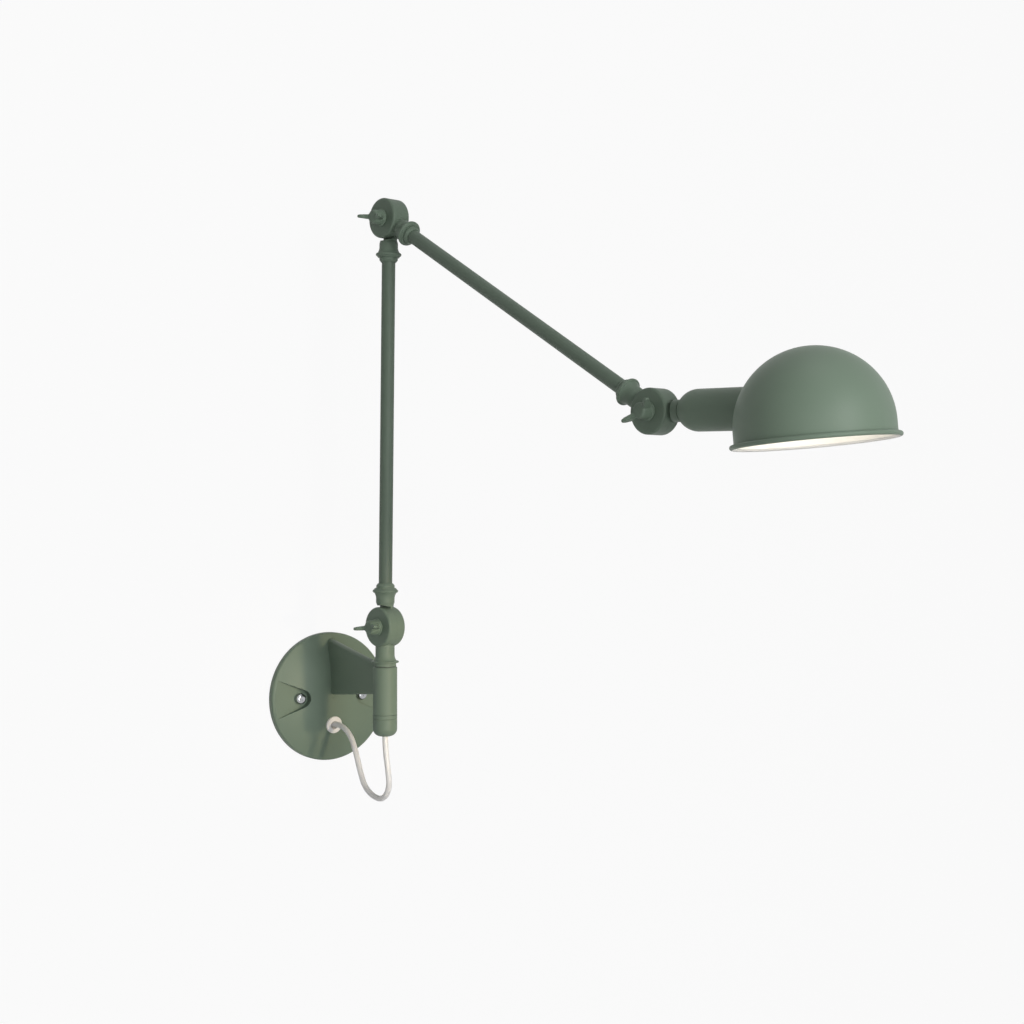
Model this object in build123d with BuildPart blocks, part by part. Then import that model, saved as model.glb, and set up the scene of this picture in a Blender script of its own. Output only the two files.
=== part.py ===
from build123d import *
from math import asin, cos, degrees, pi, radians, sin, sqrt, tan
import os

# Swing arm wall lamp with a domed metal shade, in millimetres and degrees.
# The origin is the centre of the backplate on the wall: +X runs right along the wall,
# -Y points out of the wall and +Z points up.

# Pose at rest, as angles
swing_turn = 9.57
lower_angle = 89.13
upper_angle = -30.67
cup_angle = -1.17
shade_pitch = 4.3
shade_roll = 2.18
lower_wing_turn = 6.6
elbow_wing_turn = -5.6
head_wing_turn = 34.0

# Limits of the arms' swing about the barrel, counted from straight out of the wall
swing_limit = 90.0

# Fits
overrun = 5.0
push_fit = 0.05
running_fit = 0.06
face_gap = 0.1
screw_gap = 0.2

# Arms and knuckles
arm_length = 408.2
tube_radius = 6.8
tube_wall = 1.2
tube_start = 30.0
knuckle_radius = 19.9
knuckle_thickness = 20.5
knuckle_edge = 2.2
half_gap = 0.05
knuckle_skin = 2.4
knuckle_rim = 3.5
boss_radius = 5.6
boss_recess = 0.45
washer_thickness = 0.9
rim_clearance = 2.4
neck_rim_clearance = 0.4
head_rim_clearance = 4.2
bore_side_wall = 0.3
bore_start_inset = 0.9

# Tube socket, as radii and distances from the knuckle's centre
neck_root = 16.9
neck_tip_radius = 8.4
neck_tip_end = 21.8
neck_radius = 9.3
neck_straight = 28.2
neck_shoulder = 24.6
flare_radius = 11.3
flare_end = 34.2
bead_radius = 12.8
bead_round = 1.2
bead_end = 37.3
bead_slope_radius = 10.6
bead_slope_end = 38.7
ring_radius = 9.2
ring_end = 41.3
socket_mouth = 43.4
mouth_wall = 0.8

# Wing screws
screw_radius = 3.0
collar_radius = 8.8
collar_height = 1.4
hub_root_radius = 7.4
hub_tip_radius = 6.8
hub_height = 11.8
wing_thickness = 3.4
wing_reach = 16.6
wing_height = 17.6
wing_root_height = 2.6
wing_tip_round = 2.2
thread_end_gap = 0.4

# Backplate
plate_radius = 67.8
rim_depth = 7.3
rim_round = 2.6
crown_depth = 17.7
plate_wall = 2.0
pocket_radius = 9.6
pocket_spread = 21.5
pocket_floor = 7.6

# Canopy screws
canopy_screw_offset = 36.5
canopy_head_radius = 5.6
canopy_head_height = 6.6
canopy_head_dome = 3.2
canopy_shank_radius = 2.0
drive_width = 0.9
drive_length = 3.8
drive_depth = 1.2

# Mounting plate
strap_thickness = 2.5
strap_width = 18.0
strap_end_margin = 5.15
strap_hub_radius = 16.0
wire_hole_radius = 9.0
slot_spacing = 79.4
slot_length = 14.3
slot_radius = 2.4
joggle_start = 24.9
joggle_run = 3.5
joggle_rise = 3.0
tab_end = 43.0

# Bracket casting
barrel_reach = 123.7
barrel_radius = 12.2
barrel_bottom = -7.4
barrel_shoulder = 39.8
barrel_top = 40.8
barrel_neck_radius = 11.2
barrel_bore_radius = 10.2
partition_thickness = 10.0
web_thickness = 7.6
web_root_top = 61.9
web_root_bottom = 1.6
web_axis_top = 40.3
web_axis_bottom = 13.1
web_edge = 2.8
bracket_screw_heights = (12.0, 27.0)
bracket_boss_radius = 5.2
bracket_boss_depth = 8.2
bracket_screw_radius = 2.0
bracket_screw_bite = 9.0
pan_head_radius = 4.0
pan_head_height = 2.6

# Barrel cap
cap_gap = 0.3
cap_bottom = -29.0
cap_round = 7.6
cap_spigot = 7.6
cap_wall = 2.4
cap_groove_height = -11.6
cap_groove_width = 0.7
cap_groove_depth = 0.4

# Swivel
swivel_face = 39.4
swivel_neck_radius = 9.6
cove_length = 6.0
cove_radius = 11.9
flange_radius = 13.9
flange_thickness = 1.8
flange_round = 0.9
flange_clearance = 1.2
step_radius = 11.2
step_height = 3.3
spindle_radius = 5.0
spindle_bore_radius = 3.15
spindle_end_wall = 5.1
bush_radius = 10.8
bush_thickness = 0.4
swivel_washer_radius = 8.6
swivel_washer_thickness = 1.0
swivel_nut_flat = 14.0
swivel_nut_height = 5.0
spindle_tail = 2.5
stop_pin_radius = 1.2
stop_pin_circle = 8.6
stop_pin_bite = 5.0
stop_pin_stand = 1.8
stop_groove_gap = 0.3

# Head
head_neck_radius = 9.4
head_neck_step_radius = 6.8
head_neck_step = 1.3
cup_radius = 17.7
cup_wall = 1.6
cup_shoulder = 48.4
cup_seat = 32.3
cup_seat_radius = 10.3
cup_floor_thickness = 3.4
cup_lip = 1.5
nipple_start = 25.0
nipple_end = 50.0
head_washer_radius = 8.0
head_washer_thickness = 1.0
head_nut_flat = 14.0
head_nut_height = 4.5

# Lampholder
wiring_room = 28.6
holder_length = 36.5
holder_floor_thickness = 8.0
holder_bore_radius = 14.3
holder_wire_radius = 3.4
retainer_thickness = 1.6
retainer_bore_radius = 14.8
retainer_recess = 1.6
shell_wall = 0.6
shell_recess = 2.5
contact_radius = 4.0
contact_thickness = 1.0

# Shade
shade_below_axis = 15.74
shade_radius = 63.0
shade_wall = 1.2
rim_drop = 11.08
rim_bead_radius = 2.0
rim_bead_offset = 1.6

# Bulb
bulb_radius = 24.0
bulb_reach = 42.0
bulb_neck_radius = 12.6
bulb_wall = 0.8
bulb_taper = 20.0
bulb_neck_bite = 6.0
bulb_base_radius = 13.2
bulb_base_length = 26.6
bulb_base_stand = 2.5
bulb_button_radius = 4.6
bulb_button_length = 2.8

# Grommet and cord
grommet_drop = 29.2
grommet_flange_radius = 9.0
grommet_flange_thickness = 2.4
grommet_neck_radius = 6.2
grommet_bore_radius = 4.3
grommet_inner_radius = 7.8
grommet_inner_thickness = 2.0
grommet_round = 1.0
spotface_depth = 0.3
cord_radius = 2.9
cord_bore_radius = 3.15
barrel_cord_top = 16.5

# Share of the shorter run next to a corner of the cord that its bend may take up
arc_share = 0.45

# The free cord's route from the barrel cap down, round and back into the backplate
cord_route = [
    (0, -123.7, -16),
    (0, -123.7, -40.1),
    (0.5, -129.2, -63.6),
    (0.9, -131.0, -79.6),
    (0.9, -121.1, -92.3),
    (0.4, -105.2, -94.5),
    (-0.4, -84.2, -87.3),
    (-0.5, -73.9, -71.5),
    (0.1, -62.9, -51.3),
    (0.4, -51.2, -35.6),
    (0.3, -27.9, -26.8),
    (0.3, -10.6, -29.4),
]

# Wiring inside the backplate
block_start = 11.2
block_end = 24.4
block_height = 16.0
block_depth = 9.0
block_round = 1.0
block_screw_radius = 1.6
block_screw_depth = 1.2
block_screw_pitch = 7.0
ground_screw_offset = -13.4
lead_radius = 0.8
lead_pitch = 1.9
lead_bend = 4.0

# Directions of the arms and points on them
up = Vector(0, 0, 1)
arm_out = Vector(sin(radians(swing_turn)), -cos(radians(swing_turn)), 0)
wing_side = Vector(-cos(radians(swing_turn)), -sin(radians(swing_turn)), 0)


def in_arm_plane(pitch):
    """Direction in the arms' upright plane at a pitch above the horizontal."""
    return arm_out * cos(radians(pitch)) + up * sin(radians(pitch))


lower_run = in_arm_plane(lower_angle)
upper_run = in_arm_plane(upper_angle)
cup_run = in_arm_plane(cup_angle)

lower_knuckle_height = barrel_top + bush_thickness + face_gap + swivel_face
barrel_axis = Axis(Vector(0, -barrel_reach, 0), up)
lower_centre = Vector(0, -barrel_reach, lower_knuckle_height)
elbow_centre = lower_centre + lower_run * arm_length
head_centre = elbow_centre + upper_run * arm_length
cup_axis = Axis(head_centre, cup_run)

# Distances along the cup from the head knuckle's centre
holder_start = cup_seat + wiring_room
holder_floor = holder_start + holder_floor_thickness
holder_end = holder_start + holder_length
cup_trim_radius = shade_radius - shade_wall - cup_lip
shade_reach = holder_end + retainer_thickness + retainer_recess + cup_trim_radius

shade_up = (
    in_arm_plane(90 + shade_pitch) * cos(radians(shade_roll))
    + wing_side * sin(radians(shade_roll))
)
shade_centre = head_centre + cup_run * shade_reach - shade_up * shade_below_axis
shade_plane = Plane(origin=shade_centre, x_dir=shade_up.cross(wing_side), z_dir=shade_up)

os.makedirs("parts", exist_ok=True)


def save(piece, name):
    piece.part.label = name
    export_step(piece.part, "parts/" + name + ".step")


def outline_plane(centre, run):
    """Plane for half outlines: x is the radius and y the distance along run."""
    return Plane(origin=centre, x_dir=wing_side, z_dir=wing_side.cross(run))


def across(centre, run, distance):
    """Plane square to run, at a distance along it."""
    return Plane(origin=centre + run * distance, x_dir=wing_side, z_dir=run)


# Backplate: a domed pressing with a rounded rim, two sunk screw pockets and a cord hole
front_radius = plate_radius - rim_round
crown_rise = crown_depth - rim_depth
crown_sphere = (front_radius**2 + crown_rise**2) / (2 * crown_rise)


def crown_at(radius, inset=0):
    """Depth of the domed front from the wall at a radius, or of a surface inset from it."""
    return crown_depth - crown_sphere + sqrt((crown_sphere - inset) ** 2 - radius**2)


with BuildPart() as plate_outer:
    with BuildSketch(Plane.XY):
        with BuildLine():
            rim_corner = rim_depth - rim_round
            diagonal = rim_round * cos(radians(45))
            Polyline((0, -crown_depth), (0, 0), (plate_radius, 0), (plate_radius, -rim_corner))
            ThreePointArc(
                (plate_radius, -rim_corner),
                (front_radius + diagonal, -rim_corner - diagonal),
                (front_radius, -rim_depth),
            )
            ThreePointArc(
                (front_radius, -rim_depth),
                (front_radius / 2, -crown_at(front_radius / 2)),
                (0, -crown_depth),
            )
        make_face()
    revolve(axis=Axis.Y)


def pocket_outline(side, grow):
    """Teardrop pocket round one canopy screw, open towards the rim."""
    radius = pocket_radius + grow
    spread = radians(pocket_spread)
    touch = canopy_screw_offset - radius * sin(spread)
    edge = plate_radius + overrun
    edge_half = radius / cos(spread) + (edge - canopy_screw_offset) * tan(spread)
    with Locations((side * canopy_screw_offset, 0)):
        Circle(radius)
    corners = [
        (side * touch, radius * cos(spread)),
        (side * edge, edge_half),
        (side * edge, -edge_half),
        (side * touch, -radius * cos(spread)),
    ]
    Polygon(*corners, align=None)


inner_radius = plate_radius - plate_wall

with BuildPart() as plate_hollow:
    with BuildSketch(Plane.XY):
        with BuildLine():
            inner_edge = crown_at(inner_radius, plate_wall)
            inner_crown = crown_depth - plate_wall
            Polyline(
                (0, -inner_crown),
                (0, overrun),
                (inner_radius, overrun),
                (inner_radius, -inner_edge),
            )
            ThreePointArc(
                (inner_radius, -inner_edge),
                (inner_radius / 2, -crown_at(inner_radius / 2, plate_wall)),
                (0, -inner_crown),
            )
        make_face()
    revolve(axis=Axis.Y)
    with BuildSketch(Plane.XZ.offset(pocket_floor - plate_wall)):
        for side in (-1, 1):
            pocket_outline(side, plate_wall)
    extrude(amount=crown_depth, mode=Mode.SUBTRACT)
    with BuildSketch(Plane.XZ.offset(bracket_boss_depth)):
        with Locations(*[(0, height) for height in bracket_screw_heights]):
            Circle(bracket_boss_radius)
    extrude(amount=crown_depth, mode=Mode.SUBTRACT)

grommet_tilt = asin(grommet_drop / crown_sphere)
grommet_out = Vector(0, -cos(grommet_tilt), -sin(grommet_tilt))
sphere_centre = Vector(0, crown_sphere - crown_depth, 0)
grommet_seat = sphere_centre + grommet_out * (crown_sphere - spotface_depth)
grommet_plane = Plane(origin=grommet_seat, x_dir=Vector(1, 0, 0), z_dir=grommet_out)

with BuildPart() as backplate:
    add(plate_outer.part)
    with BuildSketch(Plane.XZ.offset(pocket_floor)):
        for side in (-1, 1):
            pocket_outline(side, 0)
    extrude(amount=crown_depth, mode=Mode.SUBTRACT)
    add(plate_hollow.part, mode=Mode.SUBTRACT)
    with BuildSketch(Plane.XZ):
        with Locations((-canopy_screw_offset, 0), (canopy_screw_offset, 0)):
            Circle(canopy_shank_radius + screw_gap)
        with Locations(*[(0, height) for height in bracket_screw_heights]):
            Circle(bracket_screw_radius + screw_gap)
    extrude(amount=crown_depth + overrun, mode=Mode.SUBTRACT)
    with BuildSketch(grommet_plane):
        Circle(grommet_flange_radius + face_gap)
    extrude(amount=overrun, mode=Mode.SUBTRACT)
    with BuildSketch(grommet_plane):
        Circle(grommet_neck_radius + push_fit)
    extrude(amount=-(plate_wall + overrun), mode=Mode.SUBTRACT)
save(backplate, "backplate")

# Mounting plate: a steel cross that is screwed to the wall box behind the backplate
with BuildPart() as mounting_plate:
    with BuildSketch(Plane.XZ):
        Rectangle(strap_width, slot_spacing + slot_length + 2 * strap_end_margin)
        Circle(strap_hub_radius)
    extrude(amount=strap_thickness)
    with BuildSketch(Plane.XY):
        with BuildLine():
            joggle_end = joggle_start + joggle_run
            Polyline(
                (0, 0),
                (joggle_end, 0),
                (joggle_end + joggle_run, -joggle_rise),
                (tab_end, -joggle_rise),
                (tab_end, -joggle_rise - strap_thickness),
                (joggle_end, -joggle_rise - strap_thickness),
                (joggle_start, -strap_thickness),
                (0, -strap_thickness),
                close=True,
            )
        make_face()
        mirror(about=Plane.YZ)
    extrude(amount=strap_width / 2, both=True)
    with BuildSketch(Plane.XZ):
        Circle(wire_hole_radius)
        with Locations((0, slot_spacing / 2), (0, -slot_spacing / 2)):
            SlotOverall(slot_length, 2 * slot_radius, rotation=90)
        with Locations((ground_screw_offset, 0)):
            Circle(canopy_shank_radius + push_fit)
        with Locations((-canopy_screw_offset, 0), (canopy_screw_offset, 0)):
            Circle(canopy_shank_radius + push_fit)
    extrude(amount=crown_depth, mode=Mode.SUBTRACT)
save(mounting_plate, "mounting_plate")

# Canopy screws: tall chromed screws that pull the backplate onto the mounting plate
with BuildPart() as canopy_screws:
    shank_end = joggle_rise - strap_thickness / 2
    with BuildSketch(Plane.XZ.offset(shank_end)):
        with Locations((-canopy_screw_offset, 0), (canopy_screw_offset, 0)):
            Circle(canopy_shank_radius)
    extrude(amount=pocket_floor - shank_end)
    with BuildSketch(Plane.XZ.offset(pocket_floor)):
        with Locations((-canopy_screw_offset, 0), (canopy_screw_offset, 0)):
            Circle(canopy_head_radius)
    extrude(amount=canopy_head_height)
    tops = canopy_screws.faces().filter_by(Axis.Y).group_by(Axis.Y)[0]
    fillet(tops.edges(), radius=canopy_head_dome)
    with BuildSketch(Plane.XZ.offset(pocket_floor + canopy_head_height)):
        with Locations((-canopy_screw_offset, 0), (canopy_screw_offset, 0)):
            Rectangle(drive_length, drive_width)
            Rectangle(drive_width, drive_length)
    extrude(amount=-drive_depth, mode=Mode.SUBTRACT)
save(canopy_screws, "canopy_screws")

# Bracket casting: a tapered upright web that carries the barrel off the wall
partition_bottom = barrel_top - partition_thickness

with BuildPart() as arm_bracket:
    with BuildSketch(Plane.YZ):
        Polygon(
            (-rim_depth, web_root_bottom),
            (-rim_depth, web_root_top),
            (-barrel_reach, web_axis_top),
            (-barrel_reach, web_axis_bottom),
            align=None,
        )
    extrude(amount=web_thickness / 2, both=True)
    long_edges = arm_bracket.edges().filter_by(Plane.YZ).group_by(Axis.Y)[1]
    fillet(long_edges, radius=web_edge)
    with BuildSketch(Plane.XY.offset(barrel_bottom)):
        with Locations((0, -barrel_reach)):
            Circle(barrel_radius)
    extrude(amount=barrel_shoulder - barrel_bottom)
    with Locations((0, -barrel_reach, barrel_shoulder)):
        Cone(
            barrel_radius,
            barrel_neck_radius,
            barrel_top - barrel_shoulder,
            align=(Align.CENTER, Align.CENTER, Align.MIN),
        )
    add(plate_outer.part, mode=Mode.SUBTRACT)
    with BuildSketch(Plane.XY.offset(barrel_top)):
        with Locations((0, -barrel_reach)):
            Circle(flange_radius + flange_clearance)
    extrude(amount=web_root_top, mode=Mode.SUBTRACT)
    with BuildSketch(Plane.XY.offset(barrel_bottom)):
        with Locations((0, -barrel_reach)):
            Circle(barrel_bore_radius)
    extrude(amount=partition_bottom - barrel_bottom, mode=Mode.SUBTRACT)
    with BuildSketch(Plane.XY.offset(barrel_bottom)):
        with Locations((0, -barrel_reach)):
            Circle(spindle_radius + running_fit)
    extrude(amount=barrel_top - barrel_bottom, mode=Mode.SUBTRACT)
    with BuildSketch(Plane.XY.offset(barrel_top)):
        with Locations((0, stop_pin_circle - barrel_reach)):
            Circle(stop_pin_radius + push_fit)
    extrude(amount=-stop_pin_bite, mode=Mode.SUBTRACT)
    with BuildSketch(Plane.XZ.offset(bracket_boss_depth)):
        with Locations(*[(0, height) for height in bracket_screw_heights]):
            Circle(bracket_screw_radius + push_fit)
    extrude(amount=crown_depth - bracket_boss_depth + bracket_screw_bite, mode=Mode.SUBTRACT)
save(arm_bracket, "arm_bracket")

# Bracket screws: driven from inside the backplate into the web
with BuildPart() as bracket_screws:
    with BuildSketch(Plane.XZ.offset(bracket_boss_depth)):
        with Locations(*[(0, height) for height in bracket_screw_heights]):
            Circle(bracket_screw_radius)
    extrude(amount=crown_depth - bracket_boss_depth + bracket_screw_bite - screw_gap)
    with BuildSketch(Plane.XZ.offset(bracket_boss_depth)):
        with Locations(*[(0, height) for height in bracket_screw_heights]):
            Circle(pan_head_radius)
    extrude(amount=-pan_head_height)
save(bracket_screws, "bracket_screws")

# Ground screw in the mounting plate
with BuildPart() as ground_screw:
    with BuildSketch(Plane.XZ):
        with Locations((ground_screw_offset, 0)):
            Circle(canopy_shank_radius)
    extrude(amount=strap_thickness)
    with BuildSketch(Plane.XZ.offset(strap_thickness)):
        with Locations((ground_screw_offset, 0)):
            Circle(pan_head_radius)
    extrude(amount=pan_head_height)
save(ground_screw, "ground_screw")

# Terminal block on the mounting plate, with its two clamp screws
block_middle = (block_start + block_end) / 2
block_front = strap_thickness + block_depth

with BuildPart() as terminal_block:
    with BuildSketch(Plane.XZ.offset(strap_thickness)):
        with Locations((block_middle, 0)):
            Rectangle(block_end - block_start, block_height)
    extrude(amount=block_depth)
    chamfer(terminal_block.faces().sort_by(Axis.Y)[0].edges(), length=block_round)
    with BuildSketch(Plane.XZ.offset(block_front)):
        with Locations((block_middle, 0)):
            with GridLocations(0, block_screw_pitch, 1, 2):
                Circle(block_screw_radius + push_fit)
    extrude(amount=-block_screw_depth, mode=Mode.SUBTRACT)
save(terminal_block, "terminal_block")

with BuildPart() as terminal_screws:
    with BuildSketch(Plane.XZ.offset(block_front - block_screw_depth)):
        with Locations((block_middle, 0)):
            with GridLocations(0, block_screw_pitch, 1, 2):
                Circle(block_screw_radius)
    extrude(amount=block_screw_depth - push_fit)
save(terminal_screws, "terminal_screws")

# Grommet: a soft white ring pushed through the backplate where the cord goes in
with BuildPart() as cord_grommet:
    with BuildSketch(grommet_plane):
        Circle(grommet_flange_radius)
    extrude(amount=grommet_flange_thickness)
    front_edges = cord_grommet.faces().sort_by(Axis(grommet_seat, grommet_out))[-1].edges()
    fillet(front_edges, radius=grommet_round)
    with BuildSketch(grommet_plane):
        Circle(grommet_neck_radius)
    extrude(amount=-plate_wall)
    with BuildSketch(grommet_plane.offset(-plate_wall)):
        Circle(grommet_inner_radius)
    extrude(amount=-grommet_inner_thickness)
    with BuildSketch(grommet_plane.offset(grommet_flange_thickness + overrun)):
        Circle(grommet_bore_radius)
    extrude(amount=-(crown_depth + overrun), mode=Mode.SUBTRACT)
save(cord_grommet, "cord_grommet")

# Free cord: straight runs joined by tangent arcs
cord_points = [Vector(*point) for point in cord_route]
bend_radii = []
for before, corner, after in zip(cord_points, cord_points[1:], cord_points[2:]):
    turn = (corner - before).get_angle(after - corner)
    run = min((corner - before).length, (after - corner).length)
    bend_radii.append(arc_share * run / tan(radians(turn) / 2))

with BuildPart() as supply_cord:
    with BuildLine() as cord_path:
        FilletPolyline(*cord_points, radius=bend_radii)
    with BuildSketch(Plane(origin=cord_points[0], z_dir=cord_points[1] - cord_points[0])):
        Circle(cord_radius)
    sweep()
save(supply_cord, "supply_cord")
cord_length = cord_path.wires()[0].length
print("cord length", round(cord_length, 1), "radii", [round(r, 1) for r in bend_radii])
print("cord volume", round(supply_cord.part.volume), round(pi * cord_radius**2 * cord_length))


def straight_cord(start, run, length):
    """Straight length of cord inside a tube."""
    with BuildPart() as cord:
        with BuildSketch(Plane(origin=start, z_dir=run)):
            Circle(cord_radius)
        extrude(amount=length)
    return cord


# Cord inside the barrel, from the cap up to the spindle
barrel_cord_start = Vector(0, -barrel_reach, cord_points[0].Z)
barrel_cord = straight_cord(barrel_cord_start, up, barrel_cord_top - barrel_cord_start.Z)
save(barrel_cord, "barrel_cord")

# Leads from the cord's end to the terminal block and the ground screw
cord_end = cord_points[-1]
block_foot = -block_height / 2
lead_height = block_foot - 2 * lead_bend
lead_depth = -strap_thickness - block_depth / 2
ground_depth = -strap_thickness - pan_head_height / 2
lead_targets = [
    (block_middle + lead_pitch, lead_depth, block_foot),
    (block_middle - lead_pitch, lead_depth, block_foot),
    (ground_screw_offset, ground_depth, -pan_head_radius),
]

with BuildPart() as inner_leads:
    for place, target in zip((lead_pitch, 0, -lead_pitch), lead_targets):
        start = cord_end + Vector(place, 0, 0)
        leave = start + (cord_end - cord_points[-2]).normalized() * lead_bend
        rise = Vector(target[0], target[1], lead_height)
        with BuildLine() as lead_path:
            FilletPolyline(start, leave, rise, Vector(*target), radius=lead_bend / 2)
        with BuildSketch(Plane(origin=start, z_dir=leave - start)):
            Circle(lead_radius)
        sweep(path=lead_path.wires()[0])
save(inner_leads, "inner_leads")

# Barrel cap: a rounded turned cap with a spigot and a cord hole
cap_top = barrel_bottom - cap_gap
spigot_radius = barrel_bore_radius - push_fit
cap_corner = cap_bottom + cap_round
cap_diagonal = cap_round * cos(radians(45))

with BuildPart() as barrel_cap:
    with BuildSketch(outline_plane(Vector(0, -barrel_reach, 0), up)):
        with BuildLine():
            Polyline(
                (0, cap_bottom),
                (0, cap_top + cap_gap + cap_spigot),
                (spigot_radius, cap_top + cap_gap + cap_spigot),
                (spigot_radius, cap_top),
                (barrel_radius, cap_top),
                (barrel_radius, cap_groove_height + cap_groove_width / 2),
                (barrel_radius - cap_groove_depth, cap_groove_height),
                (barrel_radius, cap_groove_height - cap_groove_width / 2),
                (barrel_radius, cap_corner),
            )
            ThreePointArc(
                (barrel_radius, cap_corner),
                (barrel_radius - cap_round + cap_diagonal, cap_corner - cap_diagonal),
                (barrel_radius - cap_round, cap_bottom),
            )
            Line((barrel_radius - cap_round, cap_bottom), (0, cap_bottom))
        make_face()
    revolve(axis=barrel_axis)
    with BuildSketch(Plane.XY.offset(cap_corner)):
        with Locations((0, -barrel_reach)):
            Circle(spigot_radius - cap_wall)
    extrude(amount=barrel_top - cap_corner, mode=Mode.SUBTRACT)
    with BuildSketch(Plane.XY.offset(cap_bottom)):
        with Locations((0, -barrel_reach)):
            Circle(cord_bore_radius)
    extrude(amount=barrel_top - cap_bottom, mode=Mode.SUBTRACT)
save(barrel_cap, "barrel_cap")

# Swivel bush: a thin plastic ring between the barrel and the neck
with BuildPart() as swivel_bush:
    with BuildSketch(Plane.XY.offset(barrel_top)):
        with Locations((0, -barrel_reach)):
            Circle(bush_radius)
            Circle(spindle_radius + screw_gap, mode=Mode.SUBTRACT)
        with Locations((0, stop_pin_circle - barrel_reach)):
            Circle(stop_pin_radius + face_gap, mode=Mode.SUBTRACT)
    extrude(amount=bush_thickness)
save(swivel_bush, "swivel_bush")

# Stop pin: keeps the neck from turning past the wall
with BuildPart() as stop_pin:
    with BuildSketch(Plane.XY.offset(barrel_top - stop_pin_bite)):
        with Locations((0, stop_pin_circle - barrel_reach)):
            Circle(stop_pin_radius)
    extrude(amount=stop_pin_bite + bush_thickness + stop_pin_stand)
save(stop_pin, "stop_pin")

# Knuckle castings. Each is half of a disc knuckle with a neck that runs away from it.
half_thickness = knuckle_thickness / 2
cavity_radius = knuckle_radius - knuckle_rim
cord_inset = knuckle_radius + rim_clearance

# Heights on the swivel neck and the head neck, counted from the knuckle's centre
flange_end = swivel_face - step_height
flange_start = flange_end - flange_thickness
cove_start = flange_start - cove_length
head_neck_end = cup_seat - screw_gap
cup_floor = cup_seat + cup_floor_thickness


def tube_socket_outline():
    """Half outline of a tube socket: a neck, a flare, a flat bead and a plain ring."""
    Polyline(
        (0, neck_root),
        (neck_tip_radius, neck_root),
        (neck_tip_radius, neck_tip_end),
        (neck_radius, neck_shoulder),
        (neck_radius, neck_straight),
    )
    TangentArc((neck_radius, neck_straight), (flare_radius, flare_end), tangent=(0, 1))
    Line((flare_radius, flare_end), (bead_radius - bead_round, flare_end))
    ThreePointArc(
        (bead_radius - bead_round, flare_end),
        (bead_radius, (flare_end + bead_end) / 2),
        (bead_radius - bead_round, bead_end),
    )
    Polyline(
        (bead_radius - bead_round, bead_end),
        (bead_slope_radius, bead_slope_end),
        (ring_radius, bead_slope_end),
        (ring_radius, ring_end),
        (tube_radius + mouth_wall, socket_mouth),
        (0, socket_mouth),
        (0, neck_root),
    )


def swivel_neck_outline():
    """Half outline of the swivel neck: a stem, a thin flange and a step onto the bush."""
    Polyline(
        (0, neck_root),
        (swivel_neck_radius, neck_root),
        (swivel_neck_radius, cove_start),
    )
    TangentArc((swivel_neck_radius, cove_start), (cove_radius, flange_start), tangent=(0, 1))
    Line((cove_radius, flange_start), (flange_radius - flange_round, flange_start))
    ThreePointArc(
        (flange_radius - flange_round, flange_start),
        (flange_radius, (flange_start + flange_end) / 2),
        (flange_radius - flange_round, flange_end),
    )
    Polyline(
        (flange_radius - flange_round, flange_end),
        (step_radius, flange_end),
        (step_radius, swivel_face),
        (0, swivel_face),
        (0, neck_root),
    )


def head_neck_outline():
    """Half outline of the short stem that carries the lampholder cup, stepped at its end."""
    Polyline(
        (0, neck_root),
        (head_neck_radius, neck_root),
        (head_neck_radius, head_neck_end - head_neck_step),
        (head_neck_step_radius, head_neck_end - head_neck_step),
        (head_neck_step_radius, head_neck_end),
        (0, head_neck_end),
        (0, neck_root),
    )


def knuckle_half(centre, run, side, draw_neck, neck_end, rim_gap, seat_start, seat_radius):
    """Casting on one side of a knuckle. Side 1 takes the wing screw, side -1 its thread."""
    outward = wing_side * side
    mating = Plane(origin=centre + outward * half_gap, x_dir=run, z_dir=outward)
    with BuildPart() as casting:
        with BuildSketch(mating):
            Circle(knuckle_radius)
        extrude(amount=half_thickness - half_gap)
        outer_face = casting.faces().sort_by(Axis(centre, outward))[-1]
        fillet(outer_face.edges(), radius=knuckle_edge)
        with BuildSketch(outline_plane(centre, run)):
            with BuildLine():
                draw_neck()
            make_face()
        revolve(axis=Axis(centre, run))
        with BuildSketch(mating):
            Circle(knuckle_radius + rim_gap)
        extrude(amount=-knuckle_thickness, mode=Mode.SUBTRACT)
        with BuildSketch(mating):
            Circle(cavity_radius)
            Circle(boss_radius, mode=Mode.SUBTRACT)
        extrude(amount=half_thickness - half_gap - knuckle_skin, mode=Mode.SUBTRACT)
        with BuildSketch(mating):
            Circle(boss_radius)
        extrude(amount=boss_recess, mode=Mode.SUBTRACT)
        with BuildSketch(mating):
            Circle(screw_radius + (screw_gap if side > 0 else face_gap))
        hole_depth = half_thickness + overrun if side > 0 else half_thickness - knuckle_skin
        extrude(amount=hole_depth, mode=Mode.SUBTRACT)
        with BuildSketch(across(centre, run, cavity_radius - bore_start_inset)):
            with Locations((side * (cord_bore_radius + bore_side_wall), 0)):
                Circle(cord_bore_radius)
        extrude(amount=cord_inset - cavity_radius + 2 * bore_start_inset, mode=Mode.SUBTRACT)
        with BuildSketch(across(centre, run, cord_inset)):
            Circle(cord_bore_radius)
        extrude(amount=neck_end - cord_inset, mode=Mode.SUBTRACT)
        with BuildSketch(across(centre, run, seat_start)):
            Circle(seat_radius + push_fit)
        extrude(amount=neck_end - seat_start, mode=Mode.SUBTRACT)
    return casting


def tube_casting(centre, run, side):
    """Knuckle half with the socket of an arm tube."""
    return knuckle_half(
        centre, run, side, tube_socket_outline, socket_mouth, rim_clearance, tube_start, tube_radius
    )


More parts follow.
